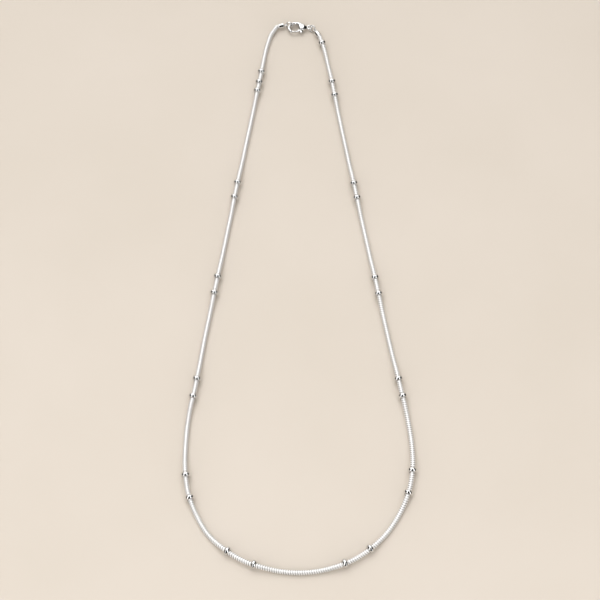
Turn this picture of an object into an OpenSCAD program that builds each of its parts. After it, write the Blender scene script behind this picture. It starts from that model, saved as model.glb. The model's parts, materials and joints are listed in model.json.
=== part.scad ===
// Necklace of round snake chain with sliding spacer beads and a lobster clasp.
// It lies on a flat surface, Z up, with the clasp at the far end of the loop along +Y.

/* [Chain] */
// Diameter of the snake chain
chain_d = 1.5; // [1.2:0.05:1.7]
// Gap between the chain and a bead's bore, on each side
bead_clearance = 0.1; // [0.08:0.01:0.15]
// Length of chain that a bead or an end cap lifts off the surface, on each side
drop_run = 8; // [6:0.5:10]

/* [Beads] */
// Outer diameter of a bead
bead_d = 2.9; // [2.5:0.05:3.4]
// Length of a bead along the chain
bead_l = 1.5; // [1.2:0.05:1.6]
// Radius of a bead's round rim, seen in section
bead_rim_r = 0.85; // [0.8:0.05:1]

/* [End caps] */
// Length of an end cap's barrel
cap_l = 2.2; // [1.8:0.1:3]
// Wall of an end cap
cap_wall = 0.14; // [0.12:0.02:0.3]
// Gap between the chain and an end cap, on each side
cap_clearance = 0.04; // [0.03:0.01:0.08]
// Depth that the chain goes into an end cap
cap_seat = 1.6; // [1.2:0.1:1.7]
// Straight chain between an end cap and its first bend
cap_straight = 0.3; // [0.2:0.1:1]
// Radius of an end cap's eye, at the middle of its wire
cap_eye_r = 0.5; // [0.48:0.01:0.54]
// Wire of an end cap's eye
cap_eye_wire = 0.36; // [0.3:0.02:0.38]

/* [Jump rings] */
// Outer diameter of a jump ring
ring_d = 2.8; // [2.75:0.05:3]
// Wire of a jump ring
ring_wire = 0.44; // [0.38:0.01:0.46]
// Lean of the jump rings away from upright
ring_lean = 28; // [24:1:32]
// Distance that the claw's ring is drawn off the middle of the claw's bar
ring_pull = 0.12; // [0.1:0.01:0.16]

/* [Clasp] */
// Thickness of the clasp's housing
clasp_t = 2.3; // [2.1:0.05:2.6]
// Diameter of the space inside the claw
claw_hole_d = 3; // [2.9:0.05:3.1]
// Width of the claw's bar
claw_w = 0.95; // [0.8:0.05:1]
// Thickness of the claw's bar
claw_t = 1.2; // [1:0.05:1.25]
// Corner radius of the claw's bar
claw_round = 0.4; // [0.3:0.05:0.45]
// Width of the housing
housing_w = 4.7; // [4.5:0.05:5]
// Distance from the claw's middle to the housing's widest place
housing_x = 1.1; // [1:0.05:1.3]
// Distance from the claw's middle to the clasp's eye
eye_x = 5.4; // [5.2:0.05:5.8]
// Radius of the clasp's eye, at the middle of its wire
eye_r = 0.8; // [0.78:0.02:0.9]
// Wire of the clasp's eye
eye_wire = 0.6; // [0.5:0.02:0.62]
// Width of the neck between the housing and the eye
neck_w = 0.9; // [0.7:0.05:1.1]

/* [Lever] */
// Distance along the clasp from the claw's middle to the pivot
pivot_x = 2.3; // [2.2:0.05:2.35]
// Distance across the clasp from the claw's middle to the pivot
pivot_y = 0.8; // [0.75:0.05:0.9]
// Diameter of the pivot pin
pin_d = 0.6; // [0.5:0.02:0.7]
// Gap between the pin and the lever's bore, on each side
pin_clearance = 0.05; // [0.02:0.01:0.08]
// Gap between the pin and the ears' bores, on each side
pin_fit = 0.01; // [0.01:0.005:0.02]
// Thickness of the lever between the ears
lever_t = 0.9; // [0.8:0.05:1]
// Gap between the lever and each ear
lever_clearance = 0.08; // [0.05:0.01:0.12]
// Radius of the lever's hub
hub_r = 0.62; // [0.55:0.01:0.65]
// Radius of the ears around the pivot
ear_r = 0.75; // [0.7:0.01:0.8]
// Length of the lever from its pivot to its tip
lever_l = 3.45; // [3.4:0.01:3.5]
// Gap between the lever's tip and the claw's tip
tip_gap = 0.08; // [0.06:0.01:0.12]
// Width of the thumb tab
tab_w = 0.8; // [0.7:0.05:0.9]
// Reach of the thumb tab from the pivot
tab_l = 1.75; // [1.6:0.05:1.9]
// How much thinner the lever's tip is than the claw's bar
lever_taper = 0.5; // [0.4:0.05:0.55]
// Angle that the lever opens by
lever_swing = 20; // [16:1:20]

/* [Hidden] */
// The loop's route on the surface from the left cap to the right cap, chosen by hand
route = [
    [-8.7, 97.7], [-10, 95.5], [-10.9, 92.5], [-11.8, 88.3], [-13.1, 79], [-14.4, 71],
    [-20.9, 31], [-26.7, -5.5], [-29.7, -24], [-32.4, -43], [-33.7, -50], [-34.4, -59],
    [-34.3, -68], [-32.8, -77], [-30.2, -83.2], [-26.8, -88.8], [-21.6, -93.7], [-15.2, -97.5],
    [-7.7, -99.6], [0, -100.4], [7, -99.7], [14, -97.7], [20, -94.2], [25.5, -89],
    [29.3, -83.5], [32.7, -76.2], [34.3, -68], [34.4, -61], [33.5, -52.5], [31.5, -41.5],
    [28.3, -24.5], [25, -5.5], [18.7, 31], [12.2, 70], [10.6, 80], [8.5, 90.5], [7.6, 93.5]
];
// Where the beads sit: chain from its left start to a bead, and the step to its partner
STATION_RUN = 0;
STATION_STEP = 1;
stations = [
    [21.1, 0], [25.6, 3.7], [67.3, 5.8], [103.6, 6], [140.3, 6], [172.3, 7.4], [200.3, 8.9],
    [236.4, 8.8], [266.5, 7.3], [298.5, 5.9], [334.9, 6], [371.6, 5.7], [413.8, 5.8], [436.6, 0]
];
bead_runs = [for (s = stations) each s[STATION_STEP] > 0
    ? [s[STATION_RUN], s[STATION_RUN] + s[STATION_STEP]] : [s[STATION_RUN]]];
bead_count = len(bead_runs);
left_count = 13;

// Where the clasp lies: the middle of its claw, and its turn on the surface
clasp_at = [-1.6, 98.6];
clasp_turn = 4;
// Place of the claw's ring around the claw
claw_ring_place = 148;
// Directions on the surface: from each ring towards its cap, and from each cap along its chain
claw_ring_turn = 164;
eye_ring_turn = -37;
cap_turn_left = 195;
cap_turn_right = -60;

chain_r = chain_d / 2;
chain_sides = 8;
bead_r = bead_d / 2;
bead_bore_r = chain_r + bead_clearance;
bead_margin = 0.35;
bead_half = bead_l / 2 + bead_margin;
// Beads nearer to each other than this share one straight lifted stretch
pair_reach = drop_run + bead_half;

claw_r = claw_hole_d / 2 + claw_w / 2;
claw_outer_r = claw_hole_d / 2 + claw_w;
pivot = [pivot_x, -pivot_y];
neck_x = eye_x - eye_r;
housing_r = housing_w / 2;
slot_r = hub_r + 0.16;
// Angles around the hole between which the claw's bar and the lever's arm lie
claw_from = 20;
claw_to = 262;
lever_from = 215;
lever_to = 335;
// The lever's arm between two angles at the pivot, and the room that it and its tab swing in
arm_from = 183;
arm_to = 262;
swing_from = arm_from - lever_swing - 3;
swing_to = 270 + asin((tab_w / 2 + lever_clearance) / slot_r);

ring_r = (ring_d - ring_wire) / 2;
ring_z = ring_r * cos(ring_lean) + ring_wire / 2;

function on_surface(angle) = [cos(angle), sin(angle)];
function clasp_point(x, y) = clasp_at + x * on_surface(clasp_turn) + y * on_surface(clasp_turn + 90);

// Each ring's middle on the surface, then each cap's eye, then the place where the chain may bend
claw_ring_at = clasp_at + (claw_r + ring_pull) * on_surface(claw_ring_place);
eye_ring_at = clasp_point(eye_x, 0) + ring_r * on_surface(eye_ring_turn);
left_eye_at = claw_ring_at + ring_r * on_surface(claw_ring_turn);
right_eye_at = eye_ring_at + ring_r * on_surface(eye_ring_turn);
cap_start = cap_eye_r + cap_eye_wire / 2;
cap_reach = cap_start + cap_l + cap_straight;
left_start = left_eye_at + cap_reach * on_surface(cap_turn_left);
right_start = right_eye_at + cap_reach * on_surface(cap_turn_right);
// Roll of a cap about its own length that squares its eye to the ring's wire
cap_roll = ring_lean;

// The chain's smooth route: cubic spans whose directions weigh both neighbouring chords
knots = concat([left_start], route, [right_start]);
last = len(knots) - 1;
function unit(v) = v / norm(v);
function knot_way(i) =
    i == 0 ? on_surface(cap_turn_left)
    : i == last ? -on_surface(cap_turn_right)
    : let (before = knots[i] - knots[i - 1], after = knots[i + 1] - knots[i])
        unit(before / norm(before) * norm(after) + after / norm(after) * norm(before));
function on_span(i, t) =
    let (chord = norm(knots[i + 1] - knots[i]))
    knots[i] * (2 * t ^ 3 - 3 * t ^ 2 + 1) + knots[i + 1] * (3 * t ^ 2 - 2 * t ^ 3)
    + knot_way(i) * chord * (t ^ 3 - 2 * t ^ 2 + t) + knot_way(i + 1) * chord * (t ^ 3 - t ^ 2);
span_steps = 8;
samples = concat([for (i = [0:last - 1]) for (k = [0:span_steps - 1]) on_span(i, k / span_steps)],
    [knots[last]]);
steps = [for (i = [1:len(samples) - 1]) norm(samples[i] - samples[i - 1])];
function sums(list, i = 0, total = 0) =
    i == len(list) ? [total] : concat([total], sums(list, i + 1, total + list[i]));
runs = sums(steps);
chain_run = runs[len(runs) - 1];

// Point of the route at a length of chain from its left start; beyond the ends it is straight
function before_run(s, low, high) =
    high - low <= 1 ? low
    : let (middle = floor((low + high) / 2)) runs[middle] <= s ? before_run(s, middle, high)
        : before_run(s, low, middle);
function route_at(s) =
    s <= 0 ? knots[0] + s * on_surface(cap_turn_left)
    : s >= chain_run ? knots[last] - (s - chain_run) * on_surface(cap_turn_right)
    : let (i = before_run(s, 0, len(runs) - 1))
        samples[i] + (samples[i + 1] - samples[i]) * (s - runs[i]) / (runs[i + 1] - runs[i]);

// Height of the chain's middle: lifted by beads and caps, and down on the surface between them
function ease(d) = d <= bead_half ? 1 : d >= drop_run ? 0
    : (1 + cos(180 * (d - bead_half) / (drop_run - bead_half))) / 2;
function inside_pair(s) = max([for (i = [1:bead_count - 1])
    bead_runs[i] - bead_runs[i - 1] < pair_reach && s > bead_runs[i - 1] && s < bead_runs[i] ? 1 : 0]);
function bead_lift(s) = max(inside_pair(s), max([for (b = bead_runs) ease(abs(s - b))]));
function cap_lift(s) = ease(max(0, min(s, chain_run - s)));
function height_at(s) = chain_r + max((bead_r - chain_r) * bead_lift(s), (ring_z - chain_r) * cap_lift(s));
function chain_at(s) = let (p = route_at(s)) [p.x, p.y, height_at(s)];

// Lengths along the chain at which the tube has a ring: beside each bead, then evenly between
bend_step = 12;
end_step = 3;
function between(a, b) =
    b - a < pair_reach ? [(a + b) / 2]
    : let (from = a + drop_run, to = b - drop_run)
        to - from < 4 ? [a + bead_half, (a + b) / 2, b - bead_half]
        : let (parts = floor((to - from) / bend_step) + 1)
            concat([a + bead_half], [for (k = [0:parts]) from + (to - from) * k / parts], [b - bead_half]);
function evenly(a, b) = let (parts = max(1, round((b - a) / end_step)))
    [for (k = [0:parts]) a + (b - a) * k / parts];
seat_run = cap_seat + cap_straight;
ring_runs = concat([-seat_run], evenly(0, bead_runs[0] - bead_half),
    [for (i = [1:bead_count - 1]) each between(bead_runs[i - 1], bead_runs[i])],
    evenly(bead_runs[bead_count - 1] + bead_half, chain_run), [chain_run + seat_run]);
ring_points = [for (s = ring_runs) chain_at(s)];
ring_last = len(ring_points) - 1;

// A bead's middle and direction come from the straight stretch of tube that it is threaded on
function stretch_of(s) = max([for (i = [0:ring_last - 1]) ring_runs[i] <= s ? i : 0]);
function bead_way(s) = let (i = stretch_of(s)) unit(ring_points[i + 1] - ring_points[i]);
function bead_at(s) = let (i = stretch_of(s))
    ring_points[i] + (ring_points[i + 1] - ring_points[i])
        * (s - ring_runs[i]) / (ring_runs[i + 1] - ring_runs[i]);

// The middle of the whole loop's box on the surface is the origin
bead_middles = [for (s = bead_runs) bead_at(s)];
low_x = min([for (p = bead_middles) p.x]) - bead_r;
high_x = max([for (p = bead_middles) p.x]) + bead_r;
low_y = min([for (p = ring_points) p.y]) - chain_r;
high_y = clasp_point(housing_x, 0).y + housing_r;
origin = [(low_x + high_x) / 2, (low_y + high_y) / 2, 0];

left_beads = [for (i = [1:left_count]) str("bead_left_", i)];
right_beads = [for (i = [1:bead_count - left_count]) str("bead_right_", i)];
bead_names = concat(left_beads, right_beads);
$fn = 48;

// Swept tube with one corner of each ring pointing straight down
module snake_chain() {
    function side(i) = let (a = ring_points[max(0, i - 1)], b = ring_points[min(ring_last, i + 1)])
        unit([-(b.y - a.y), b.x - a.x, 0]);
    corners = [for (i = [0:ring_last]) for (k = [0:chain_sides - 1])
        let (angle = -90 + 360 * k / chain_sides)
        ring_points[i] + chain_r * (cos(angle) * side(i) + sin(angle) * [0, 0, 1])];
    function corner(i, k) = i * chain_sides + k % chain_sides;
    walls = [for (i = [0:ring_last - 1]) for (k = [0:chain_sides - 1])
        each [[corner(i, k), corner(i + 1, k), corner(i + 1, k + 1)],
            [corner(i, k), corner(i + 1, k + 1), corner(i, k + 1)]]];
    start = [for (k = [0:chain_sides - 1]) corner(0, k)];
    end = [for (k = [chain_sides - 1:-1:0]) corner(ring_last, k)];
    color("silver") polyhedron(corners, concat(walls, [start, end]));
}

// Drilled round bead with a bulging rim and flat ends, about the Z axis
module bead() {
    rotate_extrude() intersection() {
        translate([bead_r - bead_rim_r, 0]) circle(bead_rim_r);
        translate([bead_bore_r, -bead_l / 2]) square([bead_r, bead_l]);
    }
}

module threaded_bead(s) {
    way = bead_way(s);
    color("gainsboro") translate(bead_at(s))
        rotate([0, 90 - asin(way.z), atan2(way.y, way.x)]) bead();
}

module torus(middle_r, wire) {
    rotate_extrude() translate([middle_r, 0]) circle(wire / 2);
}

// Tube cap along +X with its eye at the origin and its mouth at the far end
module end_cap() {
    barrel_r = chain_r + cap_clearance + cap_wall;
    torus(cap_eye_r, cap_eye_wire);
    difference() {
        union() {
            translate([cap_eye_r, 0, 0]) rotate([0, 90, 0]) cylinder(h = cap_eye_wire, r = cap_eye_wire / 2);
            translate([cap_start, 0, 0]) rotate([0, 90, 0]) cylinder(h = cap_l, r = barrel_r);
        }
        translate([cap_start + cap_l - cap_seat - cap_clearance, 0, 0]) rotate([0, 90, 0])
            cylinder(h = cap_l, r = chain_r + cap_clearance);
    }
}

module end_cap_left() {
    color("gainsboro") translate([left_eye_at.x, left_eye_at.y, ring_z])
        rotate([0, 0, cap_turn_left]) rotate([cap_roll, 0, 0]) end_cap();
}

module end_cap_right() {
    color("gainsboro") translate([right_eye_at.x, right_eye_at.y, ring_z])
        rotate([0, 0, cap_turn_right]) rotate([-cap_roll, 0, 0]) end_cap();
}

// Jump ring with one foot on the surface, turned about Z and leaning back from the near side
module jump_ring(at, turn) {
    color("gainsboro") translate([at.x, at.y, ring_z])
        rotate([0, 0, turn]) rotate([90 - ring_lean, 0, 0]) torus(ring_r, ring_wire);
}

module claw_ring() {
    jump_ring(claw_ring_at, claw_ring_turn + 180);
}

module eye_ring() {
    jump_ring(eye_ring_at, eye_ring_turn);
}

module on_clasp() {
    translate([clasp_at.x, clasp_at.y, clasp_t / 2]) rotate([0, 0, clasp_turn]) children();
}

// Section of the claw's bar with round corners
module bar_section() {
    square([claw_w - 2 * claw_round, claw_t], center = true);
    square([claw_w, claw_t - 2 * claw_round], center = true);
    for (x = [-1, 1]) for (y = [-1, 1])
        translate([x * (claw_w / 2 - claw_round), y * (claw_t / 2 - claw_round)]) circle(claw_round);
}

module claw_bar(from, to) {
    rotate([0, 0, from]) rotate_extrude(angle = to - from) translate([claw_r, 0]) bar_section();
}

// Wedge with its point at the pivot, between two angles and out to a radius
module pivot_wedge(from, to, r) {
    reach = 2 * r;
    translate(pivot) intersection() {
        circle(r);
        polygon([[0, 0], reach * on_surface(from), reach * on_surface((2 * from + to) / 3),
            reach * on_surface((from + 2 * to) / 3), reach * on_surface(to)]);
    }
}

// Plan of the housing: a round body that narrows to the neck
module housing_plan() {
    difference() {
        union() {
            translate([housing_x, 0]) circle(housing_r);
            polygon([[housing_x, -housing_r], [housing_x + 0.45 * housing_r, -0.92 * housing_r],
                [neck_x, -neck_w / 2], [neck_x, neck_w / 2],
                [housing_x + 0.45 * housing_r, 0.92 * housing_r], [housing_x, housing_r]]);
        }
        circle(claw_hole_d / 2);
    }
}

// Housing with its faces sloping down to the claw and to the neck
module housing() {
    half = clasp_t / 2;
    low = claw_t / 2;
    end = eye_wire / 2;
    front = claw_hole_d / 2;
    back = housing_x + housing_r - 0.2;
    intersection() {
        translate([0, 0, -half]) linear_extrude(clasp_t) housing_plan();
        rotate([90, 0, 0]) linear_extrude(2 * housing_w, center = true)
            polygon([[0, -low], [front, -half], [back, -half], [neck_x + 0.1, -end],
                [neck_x + 0.1, end], [back, half], [front, half], [0, low]]);
    }
}

module clasp_body() {
    mouth_r = lever_l + tip_gap;
    slot_t = lever_t + 2 * lever_clearance;
    color("gainsboro") on_clasp() {
        difference() {
            union() {
                housing();
                claw_bar(claw_from, claw_to);
            }
            translate([0, 0, -clasp_t]) linear_extrude(2 * clasp_t) difference() {
                pivot_wedge(swing_from, swing_to, mouth_r);
                translate(pivot) circle(ear_r);
            }
            translate([0, 0, -slot_t / 2]) linear_extrude(slot_t) {
                pivot_wedge(swing_from, swing_to, mouth_r);
                translate(pivot) circle(slot_r);
            }
            translate([pivot.x, pivot.y, -clasp_t]) cylinder(h = 2 * clasp_t, r = pin_d / 2 + pin_fit);
        }
        translate([eye_x, 0, 0]) torus(eye_r, eye_wire);
    }
}

// Sprung lever: an arc that closes the claw, a hub on the pin and a thumb tab
module clasp_lever() {
    clear_r = ear_r + 0.12;
    slim = lever_taper * on_surface(50);
    color("silver") on_clasp() difference() {
        union() {
            intersection() {
                claw_bar(lever_from, lever_to);
                translate([0, 0, -claw_t]) linear_extrude(2 * claw_t) difference() {
                    intersection() {
                        pivot_wedge(arm_from, arm_to, lever_l);
                        translate(slim) circle(claw_outer_r);
                    }
                    translate(pivot) circle(clear_r);
                }
            }
            translate([0, 0, -lever_t / 2]) linear_extrude(lever_t) {
                translate(pivot) circle(hub_r);
                difference() {
                    pivot_wedge(arm_from, arm_to, 2 * hub_r);
                    circle(claw_hole_d / 2);
                }
                translate(pivot + [-tab_w / 2, -tab_l + tab_w / 2]) square([tab_w, tab_l - tab_w / 2]);
                translate(pivot + [0, -tab_l + tab_w / 2]) circle(tab_w / 2);
            }
        }
        translate([pivot.x, pivot.y, -claw_t]) cylinder(h = 2 * claw_t, r = pin_d / 2 + pin_clearance);
    }
}

module clasp_pin() {
    color("darkgray") on_clasp() translate([pivot.x, pivot.y, -clasp_t / 2])
        cylinder(h = clasp_t, d = pin_d);
}

module in_frame() {
    translate(-origin) children();
}

in_frame() snake_chain();
for (i = [0:bead_count - 1]) in_frame() threaded_bead(bead_runs[i]);
in_frame() end_cap_left();
in_frame() end_cap_right();
in_frame() claw_ring();
in_frame() eye_ring();
in_frame() clasp_body();
in_frame() clasp_lever();
in_frame() clasp_pin();
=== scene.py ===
import json
import math
import bpy
import numpy as np
from mathutils import Matrix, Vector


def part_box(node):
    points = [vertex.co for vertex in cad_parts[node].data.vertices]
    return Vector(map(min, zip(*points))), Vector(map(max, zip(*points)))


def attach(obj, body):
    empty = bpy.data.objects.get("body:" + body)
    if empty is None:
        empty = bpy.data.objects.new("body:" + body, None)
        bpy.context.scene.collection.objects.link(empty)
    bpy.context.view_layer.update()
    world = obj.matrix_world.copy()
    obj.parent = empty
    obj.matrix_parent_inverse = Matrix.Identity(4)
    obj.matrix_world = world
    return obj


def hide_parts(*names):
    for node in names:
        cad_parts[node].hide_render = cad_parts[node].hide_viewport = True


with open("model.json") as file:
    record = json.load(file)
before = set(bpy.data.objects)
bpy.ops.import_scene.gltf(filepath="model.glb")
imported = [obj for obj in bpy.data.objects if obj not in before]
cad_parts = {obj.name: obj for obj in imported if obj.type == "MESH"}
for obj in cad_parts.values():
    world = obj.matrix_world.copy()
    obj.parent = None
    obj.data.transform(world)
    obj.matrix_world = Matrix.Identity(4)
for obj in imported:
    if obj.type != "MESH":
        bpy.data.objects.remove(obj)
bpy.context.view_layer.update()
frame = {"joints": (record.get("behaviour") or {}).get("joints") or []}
mm = 0.001                            # shapes are worked out in millimetres, Blender's are metres
print("frame loaded")

# the camera comes first; it looks along +Y and down at the loop, as the photograph does
view = {
    "pitch": 62.0,                    # degrees below the horizon
    "at": (0.29, -231.0, 415.42),     # millimetres
    "lens": 88.0,
    "sensor": 36.0,
    "clip": (0.01, 20.0),             # metres
}


def addCamera():
    data = bpy.data.cameras.new("camera")
    data.lens = view["lens"]
    data.sensor_width = view["sensor"]
    data.clip_start, data.clip_end = view["clip"]
    camera = bpy.data.objects.new("camera", data)
    camera.location = [value * mm for value in view["at"]]
    camera.rotation_euler = (math.radians(90.0 - view["pitch"]), 0.0, 0.0)
    bpy.context.scene.collection.objects.link(camera)
    bpy.context.scene.camera = camera


addCamera()
print("camera placed")

spanSteps = 40                        # points from one knot of a line to the next


def direction(degrees):
    # the unit vector in the surface's plane at an angle from +X
    angle = np.radians(degrees)
    return np.stack([np.cos(angle), np.sin(angle), np.zeros_like(angle)], -1)


def unit(vectors):
    # each vector over its own length
    return vectors / np.linalg.norm(vectors, axis=-1, keepdims=True)


def cubicLine(knots, startWay, endWay):
    # cubic spans through the knots; each knot's direction weighs both neighbouring chords
    chords = np.diff(knots, axis=0)
    lengths = np.linalg.norm(chords, axis=1, keepdims=True)
    ways = unit(chords[:-1] / lengths[:-1] * lengths[1:] + chords[1:] / lengths[1:] * lengths[:-1])
    ways = np.vstack([startWay, ways, endWay])
    t = np.arange(spanSteps)[None, :, None] / spanSteps
    fromStart = 2 * t ** 3 - 3 * t ** 2 + 1
    fromEnd = 3 * t ** 2 - 2 * t ** 3
    startPull = t ** 3 - 2 * t ** 2 + t
    endPull = t ** 3 - t ** 2
    places = knots[:-1, None] * fromStart + knots[1:, None] * fromEnd
    pulls = ways[:-1, None] * startPull + ways[1:, None] * endPull
    points = places + pulls * lengths[:, None]
    return np.vstack([points.reshape(-1, 2), knots[-1]])


def tubeFaces(rounds, sides, closed):
    # quads join each round of points to the next; a fan to a middle point shuts each open end
    count = rounds if closed else rounds - 1
    row = np.arange(count)[:, None] * sides
    nextRow = (np.arange(count)[:, None] + 1) % rounds * sides
    column = np.arange(sides)[None, :]
    beside = (column + 1) % sides
    quads = np.stack([row + column, row + beside, nextRow + beside, nextRow + column], -1)
    quads = quads.reshape(-1, 4)
    if closed:
        return [quads]
    column, beside = column[0], beside[0]
    last = (rounds - 1) * sides
    startMiddle = np.full(sides, rounds * sides)
    startFan = np.stack([startMiddle, beside, column], -1)
    endFan = np.stack([startMiddle + 1, last + column, last + beside], -1)
    return [quads, startFan, endFan]


def shell(points, closed=False):
    # points has one row per round; returns the vertices and faces of a shut surface
    rounds, sides = points.shape[:2]
    vertices = points.reshape(-1, 3)
    if not closed:
        vertices = np.vstack([vertices, points[0].mean(0), points[-1].mean(0)])
    return vertices, tubeFaces(rounds, sides, closed)


def meshOf(name, shells, scale=mm):
    # shells one after another in one smooth mesh, their face numbers moved on by the points before
    vertices, faces, first = [], [], 0
    for points, groups in shells:
        vertices.append(points)
        faces += [group + first for group in groups]
        first += len(points)
    corners = np.concatenate([group.reshape(-1) for group in faces]).astype(np.int32)
    sizes = np.concatenate([np.full(len(group), group.shape[1]) for group in faces])
    starts = np.concatenate([[0], np.cumsum(sizes)[:-1]]).astype(np.int32)
    mesh = bpy.data.meshes.new(name)
    mesh.vertices.add(first)
    mesh.vertices.foreach_set("co", (np.vstack(vertices) * scale).astype(np.float32).reshape(-1))
    mesh.loops.add(len(corners))
    mesh.loops.foreach_set("vertex_index", corners)
    mesh.polygons.add(len(sizes))
    mesh.polygons.foreach_set("loop_start", starts)
    mesh.polygons.foreach_set("use_smooth", np.ones(len(sizes), bool))
    mesh.update(calc_edges=True)
    mesh.validate()
    return mesh


def addPiece(name, mesh, material, body, slot, *nodes):
    # every piece rides a body and stands for the nodes that it replaces
    piece = bpy.data.objects.new(name, mesh)
    bpy.context.scene.collection.objects.link(piece)
    mesh.materials.append(material)
    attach(piece, body)
    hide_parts(*nodes)
    return piece


def middleOf(node):
    # the middle of a node's box, in millimetres
    low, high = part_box(node)
    return (np.array(low) + np.array(high)) / 2 / mm


# tones are linear red, green, blue and alpha; sizes and depths are in millimetres
silverLook = {
    "tone": (0.78, 0.776, 0.77, 1),
    "shade": (0.7, 0.696, 0.69, 1),
    "gloss": (0.04, 0.11),            # roughness from its smoothest to its most handled places
    "patchSize": 1.6,
    "patchDetail": 3.0,
    "scratchSize": 0.12,
    "scratchDetail": 4.0,
    "scratchDepth": 0.0006,
}
chainLook = {
    "tone": (0.845, 0.842, 0.838, 1),
    # the gaps' tone is painted shade, near black, for the shadow down between the plates
    "gapShadeTone": (0.04, 0.039, 0.038, 1),
    "gloss": (0.34, 0.5),
    "metal": 0.42,                    # the rest is the pale scatter of its fine satin
    "patchSize": 3.0,
    "patchDetail": 3.0,
    "gapShadeAndDirt": (0.8, 1.0),               # how strong the gaps' painted shade is, a little weaker in worn places and full in dirty ones
}
floorLook = {
    "tone": (0.622, 0.563, 0.499, 1),
    "shade": (0.598, 0.54, 0.473, 1),
    "patchSize": 60.0,
    "patchDetail": 3.0,
    "grainSize": 0.5,
    "grainDetail": 4.0,
    "grainDepth": 0.01,
    "grainStrength": 0.4,
    "roughness": 0.75,
    "shine": 0.2,
}
noiseSpan = (0.3, 0.7)                # most of a noise's values lie between these
fullSpan = (0.0, 1.0)


def startMaterial(name):
    material = bpy.data.materials.new(name)
    material.use_nodes = True
    nodes = material.node_tree.nodes
    return material, nodes, material.node_tree.links, nodes["Principled BSDF"]


def noiseOf(nodes, links, size, detail, source):
    # a cloudy noise whose spots are about one size, in millimetres
    noise = nodes.new("ShaderNodeTexNoise")
    noise.inputs["Scale"].default_value = 1.0 / (size * mm)
    noise.inputs["Detail"].default_value = detail
    links.new(source, noise.inputs["Vector"])
    return noise.outputs["Fac"]


def rangeOf(nodes, links, source, result, span=noiseSpan):
    # a value's span stretched in a straight line to the result's, and held at both ends
    spread = nodes.new("ShaderNodeMapRange")
    spread.inputs["From Min"].default_value, spread.inputs["From Max"].default_value = span
    spread.inputs["To Min"].default_value, spread.inputs["To Max"].default_value = result
    links.new(source, spread.inputs["Value"])
    return spread.outputs["Result"]


def mixOf(nodes, links, factor, first, second):
    # first times (1 - factor) plus second times factor; each is a colour or another node's output
    mix = nodes.new("ShaderNodeMix")
    mix.data_type = "RGBA"
    links.new(factor, mix.inputs["Factor"])
    for socket, value in ((mix.inputs["A"], first), (mix.inputs["B"], second)):
        if isinstance(value, tuple):
            socket.default_value = value
        else:
            links.new(value, socket)
    return mix.outputs["Result"]


def bumpOf(nodes, links, source, depth, strength=1.0):
    # tips the surface as if the source were its height, 0 to 1 times the depth
    bump = nodes.new("ShaderNodeBump")
    bump.inputs["Strength"].default_value = strength
    bump.inputs["Distance"].default_value = depth * mm
    links.new(source, bump.inputs["Height"])
    return bump.outputs["Normal"]


def polishedSilver():
    # patches change the tone and the gloss together, and scratches are a very fine relief
    material, nodes, links, skin = startMaterial("polished silver")
    place = nodes.new("ShaderNodeTexCoord").outputs["Object"]
    patches = noiseOf(nodes, links, silverLook["patchSize"], silverLook["patchDetail"], place)
    share = rangeOf(nodes, links, patches, fullSpan)
    colour = mixOf(nodes, links, share, silverLook["tone"], silverLook["shade"])
    links.new(colour, skin.inputs["Base Color"])
    links.new(rangeOf(nodes, links, patches, silverLook["gloss"]), skin.inputs["Roughness"])
    scratches = noiseOf(nodes, links, silverLook["scratchSize"], silverLook["scratchDetail"], place)
    links.new(bumpOf(nodes, links, scratches, silverLook["scratchDepth"]), skin.inputs["Normal"])
    skin.inputs["Metallic"].default_value = 1.0
    return material


def platedChain():
    # painted shade in the plates' gaps: the mesh's own attribute is 0 on a plate and 1 down in a
    # gap,
    # and there mixes in a near-black tone, a little weaker in worn places and full in dirty ones
    material, nodes, links, skin = startMaterial("snake chain silver")
    gapShade = nodes.new("ShaderNodeAttribute")
    gapShade.attribute_name = "gapShade"
    place = nodes.new("ShaderNodeTexCoord").outputs["Object"]
    patches = noiseOf(nodes, links, chainLook["patchSize"], chainLook["patchDetail"], place)
    gapShadeAndDirt = rangeOf(nodes, links, patches, chainLook["gapShadeAndDirt"])
    darkened = nodes.new("ShaderNodeMath")
    darkened.operation = "MULTIPLY"
    links.new(gapShade.outputs["Fac"], darkened.inputs[0])
    links.new(gapShadeAndDirt, darkened.inputs[1])
    share = darkened.outputs["Value"]
    colour = mixOf(nodes, links, share, chainLook["tone"], chainLook["gapShadeTone"])
    links.new(colour, skin.inputs["Base Color"])
    links.new(rangeOf(nodes, links, share, chainLook["gloss"], fullSpan), skin.inputs["Roughness"])
    skin.inputs["Metallic"].default_value = chainLook["metal"]
    return material


def paleFloor():
    # an even matt surface with broad faint patches and a fine grain
    material, nodes, links, skin = startMaterial("pale floor")
    place = nodes.new("ShaderNodeTexCoord").outputs["Object"]
    patches = noiseOf(nodes, links, floorLook["patchSize"], floorLook["patchDetail"], place)
    share = rangeOf(nodes, links, patches, fullSpan)
    colour = mixOf(nodes, links, share, floorLook["tone"], floorLook["shade"])
    links.new(colour, skin.inputs["Base Color"])
    grain = noiseOf(nodes, links, floorLook["grainSize"], floorLook["grainDetail"], place)
    relief = bumpOf(nodes, links, grain, floorLook["grainDepth"], floorLook["grainStrength"])
    links.new(relief, skin.inputs["Normal"])
    skin.inputs["Roughness"].default_value = floorLook["roughness"]
    skin.inputs["Specular IOR Level"].default_value = floorLook["shine"]
    return material


silver = polishedSilver()
plates = platedChain()
print("materials made")

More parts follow.
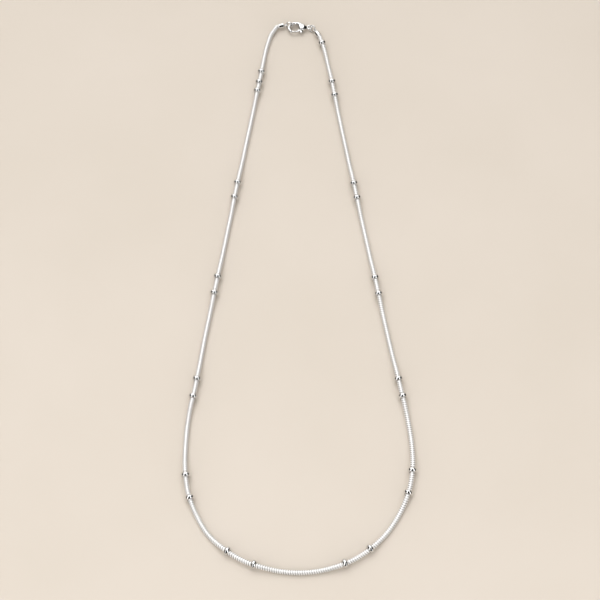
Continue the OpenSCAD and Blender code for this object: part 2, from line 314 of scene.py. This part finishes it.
# the clasp's own frame: millimetres from the middle of the claw's hole, +x to the eye
clasp = {
    "turn": 4.0,
    "pivot": (2.3, -0.8),
    "holeR": 1.5,
    "clawWidth": 0.95,
    "tip": (215.0, 248.3),            # degrees where the claw's inner and outer edges end
    "narrow": 150.0,                  # degrees where the claw's bar starts to widen
    "shoulder": 84.8,                 # degrees where the outer edge leaves the claw's circle
    "innerShoulder": 75.0,
    "back": [
        (0.222, 2.44), (0.77, 2.39), (1.313, 2.34), (1.8, 2.23), (2.3, 2.04),
        (2.75, 1.8), (3.1, 1.57), (3.45, 1.31), (4.0, 0.86), (4.75, 0.45),
    ],
    "backKnots": (5, 7),              # the outer edge's knots across from the ear's two ends
    "backWay": (1.0, -0.4),           # the outer edge's direction at the neck
    "front": [(3.4, -1.26), (4.0, -0.84), (4.75, -0.45)],
    "frontWays": ((1.0, 0.55), (1.0, 0.4)),
    "sections": (30, 30, 40, 25, 36),  # on the claw, its shoulder, the back, the ear, the housing
    "blunt": (0.6, 5.0),              # the tip's rounding, in sections: start before 0, and length
    # half thickness, and squareness from 2 for an oval: section numbers, then the values at them
    # and at the last section
    "half": ((0, 40, 98, 120), (0.56, 0.6, 1.15, 1.15, 0.33)),
    "squareness": ((0, 45, 95, 130), (2.0, 2.0, 2.4, 2.3, 2.0)),
    "eyeX": 5.4,
    "eyeR": 0.8,
    "eyeWire": 0.3,
    "mouthR": 3.53,
    "earR": 0.75,
    "slotHalf": 0.53,
    "slotR": 0.78,
    "swing": (160.0, 309.9),          # degrees at the pivot that the lever's room spans
    "room": (0.935, 1.037),           # how far from the pivot the room meets hole and housing
    "play": 0.01,                     # the pin's hole has this much more radius than the pin
    "grain": 0.04,                    # size of the melted skin's faces
    "softness": (36, 9),              # rounds of smoothing before and after the cuts
}
pivotAt = np.array(frame["joints"][0]["pos_m"]) / mm


def claspBasis():
    # rows are the clasp's own three directions in the frame
    along = direction(clasp["turn"])
    across = direction(clasp["turn"] + 90.0)
    return np.stack([along, across, np.array([0.0, 0.0, 1.0])])


claspMiddle = pivotAt - np.array([*clasp["pivot"], 0.0]) @ claspBasis()

# the chain's route on the surface, in millimetres; claspAt is the claw hole's middle in it
chain = {
    "claspAt": (-1.6, 98.6),
    "route": [
        (-8.7, 97.7), (-10, 95.5), (-10.9, 92.5), (-11.8, 88.3), (-13.1, 79), (-14.4, 71),
        (-20.9, 31), (-26.7, -5.5), (-29.7, -24), (-32.4, -43), (-33.7, -50), (-34.4, -59),
        (-34.3, -68), (-32.8, -77), (-30.2, -83.2), (-26.8, -88.8), (-21.6, -93.7), (-15.2, -97.5),
        (-7.7, -99.6), (0, -100.4), (7, -99.7), (14, -97.7), (20, -94.2), (25.5, -89),
        (29.3, -83.5), (32.7, -76.2), (34.3, -68), (34.4, -61), (33.5, -52.5), (31.5, -41.5),
        (28.3, -24.5), (25, -5.5), (18.7, 31), (12.2, 70), (10.6, 80), (8.5, 90.5), (7.6, 93.5),
    ],
    "radius": 0.75,
    "beadRadius": 1.45,
    "beadHalf": 1.1,                  # straight chain to each side of a bead's middle
    "dropRun": 8.0,
    "seat": 1.85,                     # chain inside and just outside an end cap
    "platePitch": 0.69,
    "sides": 20,
    "gapDepth": 0.14,
    "gapHalf": 0.09,                  # half a gap's width, and the rounded edge beside it
    "edge": 0.09,
    # depth and painted shade from the gap's middle over its side and edge to the plate, and back
    "sunk": (1.0, 0.35, 0.08, 0.0, 0.08, 0.35),
    "paintedShade": (1.0, 0.7, 0.0, 0.0, 0.0, 0.7),
    "closed": 0.45,                   # share of a gap's depth and painted shade left above and below
    "wave": 0.12,                     # how far a plate's edge runs to and fro along the chain
    "frameStep": 0.4,                 # the chain's direction is taken over this to each side
}
rings = {
    "radius": 1.18,
    "wire": 0.22,
    "lean": 28.0,                     # degrees off upright
    "clawTurn": 164.0,
    "eyeTurn": -37.0,
    "cut": (236.0, 594.5),            # degrees where the wire starts and ends
}
caps = {
    "leftTurn": 195.0,
    "rightTurn": -60.0,
    "eyeRadius": 0.5,
    "eyeWire": 0.18,
    "length": 2.2,
    "straight": 0.3,
    "radius": 0.93,
    "shoulder": 0.45,                 # the closed end's rounding along the cap, and its fullness
    "fullness": 0.8,
    "shoulderSteps": 10,
    "lip": 0.06,
    "lipInset": 0.035,
    "lipSteps": 9,
    "hollow": 0.77,                   # radius of the mouth
    "hollowFrom": 0.9,                # how far the mouth reaches in, and its cutter stands out
    "hollowTo": 0.5,
    "stub": 0.15,
    "stubSpread": 1.15,
    "stubSides": 20,
    "grain": 0.035,
    "softness": (2, 3),
}
capStart = caps["eyeRadius"] + caps["eyeWire"]
clawRingAt = middleOf("claw_ring")
eyeRingAt = middleOf("eye_ring")
leftEyeAt = clawRingAt + rings["radius"] * direction(rings["clawTurn"])
rightEyeAt = eyeRingAt + rings["radius"] * direction(rings["eyeTurn"])


def smoothRoute():
    # a cubic line from cap to cap through the route's points, and the length run up to each point
    reach = capStart + caps["length"] + caps["straight"]
    start = leftEyeAt + reach * direction(caps["leftTurn"])
    end = rightEyeAt + reach * direction(caps["rightTurn"])
    shift = claspMiddle[:2] - np.array(chain["claspAt"])
    knots = np.vstack([start[:2], np.array(chain["route"]) + shift, end[:2]])
    startWay, endWay = direction(caps["leftTurn"])[:2], -direction(caps["rightTurn"])[:2]
    points = cubicLine(knots, startWay, endWay)
    runs = np.concatenate([[0.0], np.cumsum(np.linalg.norm(np.diff(points, axis=0), axis=1))])
    return points, runs


routePoints, routeRuns = smoothRoute()
chainRun = routeRuns[-1]
beadsPerSide = 13
beadNodes = [f"bead_{side}_{i + 1}" for side in ("left", "right") for i in range(beadsPerSide)]
beadMiddles = np.array([middleOf(node) for node in beadNodes])
nearest = np.linalg.norm(routePoints[None] - beadMiddles[:, None, :2], axis=2).argmin(1)
beadRuns = routeRuns[nearest]


def lift(distance):
    # all the way up beside a bead, then down over a cosine to nothing at the drop's end
    fall = (distance - chain["beadHalf"]) / (chain["dropRun"] - chain["beadHalf"])
    return (1 + np.cos(np.pi * np.clip(fall, 0, 1))) / 2


def heightAt(s):
    # the chain's middle: its radius on the surface, a bead's radius beside and between paired
    # beads, and the claw ring's height at both ends
    raised = lift(np.abs(s[:, None] - beadRuns)).max(1)
    paired = np.diff(beadRuns) < chain["dropRun"] + chain["beadHalf"]
    between = (s[:, None] > beadRuns[:-1]) & (s[:, None] < beadRuns[1:]) & paired
    raised = np.maximum(raised, between.any(1))
    held = lift(np.clip(np.minimum(s, chainRun - s), 0, None))
    return chain["radius"] + np.maximum((chain["beadRadius"] - chain["radius"]) * raised,
                                        (clawRingAt[2] - chain["radius"]) * held)


def chainPoint(s):
    # a place at a length of chain; beyond both ends the chain runs straight into its cap
    x = np.interp(s, routeRuns, routePoints[:, 0])
    y = np.interp(s, routeRuns, routePoints[:, 1])
    before = np.clip(s, None, 0)[:, None] * direction(caps["leftTurn"])
    after = np.clip(s - chainRun, 0, None)[:, None] * -direction(caps["rightTurn"])
    return np.stack([x, y, heightAt(s)], -1) + before + after


def chainFrame(s):
    # along, across and up at each length of chain
    step = chain["frameStep"]
    along = unit(chainPoint(s + step) - chainPoint(s - step))
    across = unit(np.stack([-along[:, 1], along[:, 0], np.zeros(len(s))], -1))
    return along, across, np.cross(along, across)


def addChain():
    # each plate is a round band whose edges zigzag along the chain, with a sunk gap to the next one
    run = chainRun + 2 * chain["seat"]
    count = round(run / chain["platePitch"])
    pitch = run / count
    inside, outside = chain["gapHalf"], chain["gapHalf"] + chain["edge"]
    places = np.array([0.0, inside, outside, pitch / 2, pitch - outside, pitch - inside])
    sunk, paintedShade = np.tile(chain["sunk"], count)[:, None], np.tile(chain["paintedShade"], count)[:, None]
    s = (np.arange(count)[:, None] * pitch + places).reshape(-1) - chain["seat"]
    along, across, up = chainFrame(s)
    angle = 2 * np.pi * np.arange(chain["sides"]) / chain["sides"]
    # the plates nest closely above and below and stand open at the two sides, where the gaps sink
    # deeper and get more painted shade
    openness = chain["closed"] + (1 - chain["closed"]) * np.abs(np.cos(angle))
    radius = chain["radius"] - chain["gapDepth"] * sunk * openness
    zigzag = chain["wave"] * np.cos(2 * angle)
    spoke = (np.cos(angle)[None, :, None] * across[:, None]
             + np.sin(angle)[None, :, None] * up[:, None])
    points = (chainPoint(s)[:, None] + radius[..., None] * spoke
              + zigzag[None, :, None] * along[:, None])
    mesh = meshOf("snake chain", [shell(points)])
    # the two points in the middle of the ends come last, and get full painted shade
    gapShade = mesh.attributes.new("gapShade", "FLOAT", "POINT")
    shade = np.append((paintedShade * openness).reshape(-1), [1, 1])
    gapShade.data.foreach_set("value", shade.astype(np.float32))
    addPiece("snake_chain_plates", mesh, plates, "necklace", "snake_chain_silver", "snake_chain")
    print("chain made of", count, "plates")


bead = {
    "halfLength": 0.75,
    "faceRadius": 0.93,               # where the round rim turns in to the bore
    "outerRadius": 1.45,
    "boreRadius": 0.85,
    "rim": 1.22,                      # 1 for half an ellipse, more for straighter slopes
    "bore": 0.4,                      # less for a squarer edge
    "around": 48,
    "section": 32,
}


def beadShell(middle, along, across, up):
    # a closed section turned about the chain: cos(angle) and sin(angle), each to a power, make a
    # rim with straightened slopes and a squarer bore
    angle = 2 * np.pi * np.arange(bead["section"]) / bead["section"]
    c, s = np.cos(angle), np.sin(angle)
    power = np.where(s >= 0, bead["rim"], bead["bore"])
    x = bead["halfLength"] * np.sign(c) * np.abs(c) ** power
    rimReach = bead["outerRadius"] - bead["faceRadius"]
    boreReach = bead["faceRadius"] - bead["boreRadius"]
    reach = np.where(s >= 0, rimReach, boreReach)
    r = bead["faceRadius"] + reach * np.sign(s) * np.abs(s) ** power
    turn = 2 * np.pi * np.arange(bead["around"]) / bead["around"]
    spoke = np.cos(turn)[:, None] * across + np.sin(turn)[:, None] * up
    points = middle + x[None, :, None] * along + r[None, :, None] * spoke[:, None]
    return shell(points, closed=True)


def addBeads():
    # each bead sits where its solid does, square to the chain there
    for node, middle, run in zip(beadNodes, beadMiddles, beadRuns):
        along, across, up = (row[0] for row in chainFrame(np.array([run])))
        mesh = meshOf(node, [beadShell(middle, along, across, up)])
        name = node.replace("bead", "rondelle")
        addPiece(name, mesh, silver, "necklace", "polished_silver", node)
    print("beads made:", len(beadNodes))


def wireShell(middle, first, second, radius, wire, start=0.0, end=360.0, rounds=72, sides=20):
    # a round wire bent along a circle in the plane of two directions; open ends are shut flat
    closed = end - start >= 360.0
    angle = np.radians(np.linspace(start, end, rounds, endpoint=not closed))
    spoke = np.cos(angle)[:, None] * first + np.sin(angle)[:, None] * second
    normal = np.cross(first, second)
    turn = 2 * np.pi * np.arange(sides) / sides
    points = (middle + (radius + wire * np.cos(turn))[None, :, None] * spoke[:, None]
              - (wire * np.sin(turn))[None, :, None] * normal)
    return shell(points, closed)


def addJumpRing(name, node, middle, turn):
    # the ring's cut stands away from its neighbours, low on the far side
    lean = np.radians(90.0 - rings["lean"])
    first = direction(turn)
    second = np.cos(lean) * direction(turn + 90.0) + np.sin(lean) * np.array([0.0, 0.0, 1.0])
    ring = wireShell(middle, first, second, rings["radius"], rings["wire"], *rings["cut"])
    mesh = meshOf(name, [ring])
    addPiece(name, mesh, silver, "necklace", "polished_silver", node)


def latheShell(profile, sides=40):
    # a profile turned about +x: its rows are a length along the axis and a radius
    turn = 2 * np.pi * np.arange(sides) / sides
    ring = np.stack([np.zeros(sides), np.cos(turn), np.sin(turn)], -1)
    axis = np.array([1.0, 0.0, 0.0])
    points = profile[:, 0, None, None] * axis + profile[:, 1, None, None] * ring
    return shell(points)


def soften(holder, rounds, share=0.5):
    # in each round every point moves this share of the way to its neighbours' middle
    smooth = holder.modifiers.new("soften", "SMOOTH")
    smooth.factor = share
    smooth.iterations = rounds


def fused(name, shells, cuts, grain, softness, basis, middle):
    # overlapping shells melt into one skin of even small faces, which is softened before the cuts
    # and again, less, after them; softness holds the rounds of both
    holder = bpy.data.objects.new(name, meshOf(name, shells, scale=1.0))
    bpy.context.scene.collection.objects.link(holder)
    cutters = []
    for cut in cuts:
        cutter = bpy.data.objects.new(f"{name} cut", meshOf(f"{name} cut", [cut], scale=1.0))
        bpy.context.scene.collection.objects.link(cutter)
        cutters.append(cutter)
    melt = holder.modifiers.new("melt", "REMESH")
    melt.mode = "VOXEL"
    melt.voxel_size = grain
    soften(holder, softness[0])
    for cutter in cutters:
        away = holder.modifiers.new("cut", "BOOLEAN")
        away.operation = "DIFFERENCE"
        away.solver = "EXACT"
        away.object = cutter
    again = holder.modifiers.new("melt again", "REMESH")
    again.mode = "VOXEL"
    again.voxel_size = grain
    soften(holder, softness[1])
    depsgraph = bpy.context.evaluated_depsgraph_get()
    mesh = bpy.data.meshes.new_from_object(holder.evaluated_get(depsgraph))
    mesh.name = name
    points = np.empty(len(mesh.vertices) * 3, np.float32)
    mesh.vertices.foreach_get("co", points)
    points = (points.reshape(-1, 3) @ basis + middle) * mm
    mesh.vertices.foreach_set("co", points.astype(np.float32).reshape(-1))
    mesh.polygons.foreach_set("use_smooth", np.ones(len(mesh.polygons), bool))
    mesh.update()
    for item in [holder, *cutters]:
        bpy.data.objects.remove(item)
    return mesh


def addEndCap(name, node, middle, turn, roll):
    # a drawn cup, its closed end a quarter round and its mouth a half-round lip over the chain's
    # end, with a wire eye on a short stub
    wall, lip = caps["radius"], caps["lip"]
    eye, wire = caps["eyeRadius"], caps["eyeWire"]
    mouth = capStart + caps["length"]
    bend = np.radians(np.linspace(0, 90, caps["shoulderSteps"]))[1:]
    end = np.stack([capStart + caps["shoulder"] * (1 - np.cos(bend)),
                    wall * np.sin(bend) ** caps["fullness"]], -1)
    curl = np.radians(np.linspace(-90, 90, caps["lipSteps"]))
    rim = np.stack([mouth - lip + lip * np.sin(curl),
                    wall - caps["lipInset"] + lip * np.cos(curl)], -1)
    cup = latheShell(np.vstack([end, rim]))
    stubEnds = [[eye, wire], [capStart + caps["stub"], wire * caps["stubSpread"]]]
    stub = latheShell(np.array(stubEnds), caps["stubSides"])
    x, y, z = np.eye(3)
    parts = [cup, stub, wireShell(np.zeros(3), x, y, eye, wire)]
    deep, clear = mouth - caps["hollowFrom"], mouth + caps["hollowTo"]
    hollow = latheShell(np.array([[deep, caps["hollow"]], [clear, caps["hollow"]]]))
    angle = np.radians(roll)
    along, across = direction(turn), direction(turn + 90.0)
    basis = np.stack([along, np.cos(angle) * across + np.sin(angle) * z,
                      np.cos(angle) * z - np.sin(angle) * across])
    mesh = fused(name, parts, [hollow], caps["grain"], caps["softness"], basis, middle)
    addPiece(name, mesh, silver, "necklace", "polished_silver", node)


def arc(middle, radius, start, end, count):
    # even steps round a circle, from one angle to another in degrees
    return np.array(middle) + radius * direction(np.linspace(start, end, count))[:, :2]


def resampled(points, count):
    # a line's points taken again at even steps along its length
    run = np.concatenate([[0.0], np.cumsum(np.linalg.norm(np.diff(points, axis=0), axis=1))])
    even = np.linspace(0, run[-1], count)
    return np.stack([np.interp(even, run, points[:, k]) for k in (0, 1)], -1)


def eased(places, keys, values):
    # flat at each key; between two keys the value goes over by t * t * (3 - 2t), a smooth S
    low = np.clip(np.searchsorted(keys, places, "right") - 1, 0, len(keys) - 2)
    keys, values = np.array(keys, float), np.array(values, float)
    t = np.clip((places - keys[low]) / (keys[low + 1] - keys[low]), 0, 1)
    return values[low] + (values[low + 1] - values[low]) * t * t * (3 - 2 * t)


def crownedShell(inner, outer, half, power, sides=40):
    # sections span from the inner to the outer edge; a section is a rounded bar, its half
    # thickness times (1 - |across|^power)^(1/power)
    turn = 2 * np.pi * np.arange(sides) / sides
    c, s = np.cos(turn), np.sin(turn)
    grow = 2.0 / power[:, None]
    across = np.sign(c) * np.abs(c) ** grow
    height = np.sign(s) * np.abs(s) ** grow * half[:, None]
    middle, reach = (inner + outer) / 2, (outer - inner) / 2
    plan = middle[:, None] + reach[:, None] * across[..., None]
    return shell(np.concatenate([plan, height[..., None]], -1))


def joined(lines):
    # lines end to end, without the first point of each after the first
    return np.vstack([lines[0]] + [line[1:] for line in lines[1:]])


def prismShell(outline, low, high):
    # an outline carried straight up from low to high
    rows = [np.concatenate([outline, np.full((len(outline), 1), z)], -1) for z in (low, high)]
    return shell(np.stack(rows))


pin = {
    "radius": 0.3,
    "half": 1.15,
    "dome": ((0.0, 0.12), (0.015, 0.2), (0.05, 0.27)),  # length from the end, and radius there
    "domeEnd": 0.12,
    "sides": 32,
    "boreReach": 2.0,                 # its hole is cut this far to each side
    "boreSides": 36,
}


def pinBore(play):
    # a round hole about the pivot, its radius the pin's and the play
    outline = arc(clasp["pivot"], pin["radius"] + play, 0, 350, pin["boreSides"])
    return prismShell(outline, -pin["boreReach"], pin["boreReach"])


def claspBodyMesh():
    # sections between an inner and an outer edge run from the claw's tip round its hole, along the
    # back and past the ear to the neck
    pivot, centre = np.array(clasp["pivot"]), (0, 0)
    hole, bar = clasp["holeR"], clasp["holeR"] + clasp["clawWidth"]
    onClaw, onShoulder, onBack, onEar, onHousing = clasp["sections"]
    tipInner, tipOuter = clasp["tip"]
    swingStart, swingEnd = clasp["swing"]
    # outer edge: round the claw, off it along a straight, then a smooth shoulder down to the neck
    leaving = direction(clasp["shoulder"] - 90.0)[:2]
    back = cubicLine(np.array(clasp["back"]), leaving, unit(np.array(clasp["backWay"])))
    earStart, earEnd = (knot * spanSteps for knot in clasp["backKnots"])
    # inner edge: the claw's hole, the room for the lever, the ear and the housing's near side
    rayStart = pivot + clasp["room"][0] * direction(swingStart)[:2]
    rayEnd = pivot + clasp["room"][1] * direction(swingEnd)[:2]
    holeEnd = math.degrees(math.atan2(rayStart[1], rayStart[0]))
    ear = arc(pivot, clasp["earR"], swingStart, swingEnd, onEar - 1)
    front = cubicLine(np.vstack([rayEnd, clasp["front"]]), *unit(np.array(clasp["frontWays"])))
    inner = joined([
        arc(centre, hole, tipInner, clasp["narrow"], onClaw),
        arc(centre, hole, clasp["narrow"], clasp["innerShoulder"], onShoulder),
        arc(centre, hole, clasp["innerShoulder"], holeEnd, onBack),
        np.vstack([rayStart, ear]),
        resampled(np.vstack([ear[-1], front]), onHousing),
    ])
    outer = joined([
        arc(centre, bar, tipOuter, clasp["narrow"], onClaw),
        arc(centre, bar, clasp["narrow"], clasp["shoulder"], onShoulder),
        resampled(back[:earStart + 1], onBack),
        resampled(back[earStart:earEnd + 1], onEar),
        resampled(back[earEnd:], onHousing),
    ])
    count = len(inner)
    place = np.arange(count)
    (halfKeys, halfValues), (powerKeys, powerValues) = clasp["half"], clasp["squareness"]
    half = eased(place, [*halfKeys, count - 1], halfValues)
    power = eased(place, [*powerKeys, count - 1], powerValues)
    # the claw's tip is rounded off over its first few sections, by a quarter circle's height
    ahead, length = clasp["blunt"]
    blunt = np.sqrt(1 - (1 - np.clip((place + ahead) / length, 0, 1)) ** 2)
    middle = (inner + outer) / 2
    inner = middle + (inner - middle) * blunt[:, None]
    outer = middle + (outer - middle) * blunt[:, None]
    body = crownedShell(inner, outer, half * blunt, power, sides=48)
    x, y = np.eye(3)[:2]
    eye = wireShell(clasp["eyeX"] * x, x, y, clasp["eyeR"], clasp["eyeWire"])
    # the slot's outline goes round the pivot on the housing's side and over the claw's opening
    slotOutline = np.vstack([
        arc(pivot, clasp["slotR"], swingEnd, swingStart + 360, count=20),
        arc(pivot, clasp["mouthR"], swingStart, swingEnd, count=50),
    ])
    cuts = [prismShell(slotOutline, -clasp["slotHalf"], clasp["slotHalf"]), pinBore(clasp["play"])]
    return fused("clasp body", [body, eye], cuts, clasp["grain"], clasp["softness"],
                 claspBasis(), claspMiddle)


lever = {
    "tipGap": 0.08,
    "inner": (218.5, 322.0),          # degrees about the claw's hole, from the tip to the root
    "outer": (239.5, 300.0),          # degrees about the outer edge's own middle
    "outerR": 2.45,
    "slim": (0.5, 50.0),              # how far that middle is from the hole's, and which way
    "half": ((0, 30, 49), (0.52, 0.6, 0.43)),
    "squareness": 2.1,
    "shared": 8,                      # the bridge to the hub starts with this many arm sections
    "bridgeInner": [(-0.1, 0.1), (0.35, 0.2)],
    "bridgeOuter": [(-0.35, -0.5), (0.3, -0.45)],
    "bridgeHalf": 0.43,
    "bridgeSquareness": 5.0,
    "hub": [(-0.45, 0.5), (-0.41, 0.6), (-0.36, 0.62), (0.36, 0.62), (0.41, 0.6), (0.45, 0.5)],
    "tabFrom": (-0.02, -0.1),         # from the pivot
    "tabLength": 1.62,
    "tabBow": 0.06,
    "tabWide": 0.4,
    "tabRound": (0.8, 0.21),          # the share of its length where it rounds off, and over what
    "tabFloor": 0.02,                 # least share left at its end, squared
    "tabSections": 14,
    "tabHalf": ((0.0, 0.5, 0.85, 1.0), (0.43, 0.43, 0.42, 0.2)),
    "tabSquareness": 3.2,
    "play": 0.05,
    "grain": 0.036,
    "softness": (20, 6),
}


def leverMesh():
    # an arm from the claw's tip to the pivot, a hub about the pin, a bridge that joins the two, and
    # a thumb tab below the hub
    pivot = np.array(clasp["pivot"])
    keys, values = lever["half"]
    count = keys[-1] + 1
    # the arm: along the hole on its inner side, thinner towards its tip on its outer side
    inner = arc((0, 0), clasp["holeR"], *lever["inner"], count)
    away, way = lever["slim"]
    outer = arc(away * direction(way)[:2], lever["outerR"], *lever["outer"], count)
    outer[0] = pivot + unit(outer[0] - pivot) * (clasp["mouthR"] - lever["tipGap"])
    half = np.interp(np.arange(count), keys, values)
    arm = crownedShell(inner, outer, half, np.full(count, lever["squareness"]))
    shared = lever["shared"]
    bridgeInner = np.vstack([inner[-shared:], pivot + lever["bridgeInner"]])
    bridgeOuter = np.vstack([outer[-shared:], pivot + lever["bridgeOuter"]])
    same = np.ones(len(bridgeInner))
    bridge = crownedShell(bridgeInner, bridgeOuter, same * lever["bridgeHalf"],
                          same * lever["bridgeSquareness"])
    vertices, faces = latheShell(np.array(lever["hub"]))
    hub = (vertices[:, [1, 2, 0]] + np.array([*pivot, 0.0]), faces)
    # the tab bows to one side by half a sine wave, and its end is rounded as a circle's is
    down = np.linspace(0, 1, lever["tabSections"])
    aside, below = lever["tabFrom"]
    tabMiddle = pivot + np.stack([aside - lever["tabBow"] * np.sin(np.pi * down),
                                  below - lever["tabLength"] * down], -1)
    roundFrom, roundOver = lever["tabRound"]
    past = np.clip(down - roundFrom, 0, None) / roundOver
    wide = lever["tabWide"] * np.sqrt(np.clip(1 - past ** 2, lever["tabFloor"], 1))
    reach = np.stack([wide, np.zeros_like(wide)], -1)
    tab = crownedShell(tabMiddle - reach, tabMiddle + reach, np.interp(down, *lever["tabHalf"]),
                       np.full(len(down), lever["tabSquareness"]), sides=32)
    return fused("clasp lever", [arm, bridge, hub, tab], [pinBore(lever["play"])],
                 lever["grain"], lever["softness"], claspBasis(), claspMiddle)


def pinMesh():
    # a plain rivet with faintly domed ends
    end = np.vstack([pin["dome"], (pin["domeEnd"], pin["radius"])]) - (pin["half"], 0.0)
    profile = np.vstack([end, end[::-1] * (-1.0, 1.0)])
    vertices, faces = latheShell(profile, pin["sides"])
    upright = vertices[:, [1, 2, 0]] + np.array([*clasp["pivot"], 0.0])
    return meshOf("clasp pin", [(upright @ claspBasis() + claspMiddle, faces)])


addChain()
addBeads()
addJumpRing("claw_jump_ring", "claw_ring", clawRingAt, rings["clawTurn"] + 180.0)
addJumpRing("eye_jump_ring", "eye_ring", eyeRingAt, rings["eyeTurn"])
print("jump rings made")
addEndCap("left_end_cap", "end_cap_left", leftEyeAt, caps["leftTurn"], rings["lean"])
addEndCap("right_end_cap", "end_cap_right", rightEyeAt, caps["rightTurn"], -rings["lean"])
print("end caps made")
addPiece("lobster_clasp", claspBodyMesh(), silver, "necklace", "polished_silver", "clasp_body")
addPiece("clasp_thumb_lever", leverMesh(), silver, "lever", "polished_silver", "clasp_lever")
addPiece("clasp_rivet", pinMesh(), silver, "necklace", "polished_silver", "clasp_pin")
print("clasp made")

# places and sizes are in metres here
studio = {
    "floorSide": 4.0,
    "wall": (1.2, 0.6),               # radius and height of the pale wall all round
    "wallSides": 36,
    "wallTone": (0.815, 0.74, 0.655, 1),
    "wallGlow": 1.0,
    "skyAxis": (-0.08, 0.66, 0.745),  # the sky is pale in a round patch behind and overhead
    "skyEdge": (0.69, 0.75),          # cosine of the patch's reach, from dark to pale
    "skyPower": (0.02, 1.45),
    "skyTone": (1.0, 0.995, 0.985),
    # each lamp faces the middle of the floor; its size is its height and width, and lean turns it
    # on its own axis, in degrees; only the fill is kept out of reflections, so that it opens the
    # shadows and leaves the silver alone
    "key": {
        "at": (-0.3, 0.54, 1.02), "size": (0.9, 0.9), "lean": 0.0,
        "power": 4.0, "tone": (1.0, 0.99, 0.975),
    },
    "left": {
        "at": (-0.55, -0.55, 0.63), "size": (1.3, 0.26), "lean": 27.0,
        "power": 3.2, "tone": (1.0, 1.0, 1.0),
    },
    "right": {
        "at": (0.55, -0.55, 0.63), "size": (1.3, 0.26), "lean": -27.0,
        "power": 3.2, "tone": (1.0, 1.0, 1.0),
    },
    "fill": {
        "at": (-0.2, -0.6, 0.9), "size": (1.0, 1.0), "lean": 0.0,
        "power": 2.9, "tone": (1.0, 0.99, 0.975),
    },
}


def addFloor():
    # a plain square at the height of the surface that the necklace lies on
    half = studio["floorSide"] / 2
    corners = np.array([(-half, -half, 0), (half, -half, 0), (half, half, 0), (-half, half, 0)])
    mesh = meshOf("floor", [(corners, [np.array([[0, 1, 2, 3]])])], scale=1.0)
    mesh.materials.append(paleFloor())
    floor = bpy.data.objects.new("floor", mesh)
    bpy.context.scene.collection.objects.link(floor)


def addWall():
    # a pale round wall closes every view; like the fill it stays out of reflections
    radius, height = studio["wall"]
    sides = studio["wallSides"]
    column = np.arange(sides)
    beside = (column + 1) % sides
    foot = radius * direction(-360.0 / sides * column)
    quads = np.stack([column, beside, beside + sides, column + sides], -1)
    mesh = meshOf("wall", [(np.vstack([foot, foot + (0, 0, height)]), [quads])], scale=1.0)
    material, _, _, skin = startMaterial("pale wall")
    skin.inputs["Base Color"].default_value = (0, 0, 0, 1)
    skin.inputs["Emission Color"].default_value = studio["wallTone"]
    skin.inputs["Emission Strength"].default_value = studio["wallGlow"]
    mesh.materials.append(material)
    wall = bpy.data.objects.new("wall", mesh)
    wall.visible_glossy = False
    bpy.context.scene.collection.objects.link(wall)


def addSky():
    # a pale patch in a dark room, so that polished metal has something to show
    world = bpy.data.worlds.new("studio")
    bpy.context.scene.world = world
    world.use_nodes = True
    nodes, links = world.node_tree.nodes, world.node_tree.links
    place = nodes.new("ShaderNodeTexCoord").outputs["Generated"]
    along = nodes.new("ShaderNodeVectorMath")
    along.operation = "DOT_PRODUCT"
    links.new(place, along.inputs[0])
    along.inputs[1].default_value = studio["skyAxis"]
    strength = rangeOf(nodes, links, along.outputs["Value"], studio["skyPower"], studio["skyEdge"])
    backdrop = nodes["Background"]
    backdrop.inputs["Color"].default_value = (*studio["skyTone"], 1)
    links.new(strength, backdrop.inputs["Strength"])


def addLamp(name, lamp):
    # a plain rectangle of light
    data = bpy.data.lights.new(name, "AREA")
    data.shape = "RECTANGLE"
    data.size, data.size_y = lamp["size"]
    data.energy = lamp["power"]
    data.color = lamp["tone"]
    light = bpy.data.objects.new(name, data)
    light.visible_glossy = name != "fill"
    light.location = lamp["at"]
    # turned by its lean, tipped down from overhead, then turned about the vertical
    away = np.array(lamp["at"])
    lean = Matrix.Rotation(math.radians(lamp["lean"]), 3, "Z")
    tip = Matrix.Rotation(math.acos(away[2] / np.linalg.norm(away)), 3, "Y")
    turn = Matrix.Rotation(math.atan2(away[1], away[0]), 3, "Z")
    light.rotation_euler = (turn @ tip @ lean).to_euler()
    bpy.context.scene.collection.objects.link(light)


addFloor()
addWall()
addSky()
for name in ("key", "left", "right", "fill"):
    addLamp(name, studio[name])
bpy.context.scene.view_settings.view_transform = "Standard"
print("floor and light set")
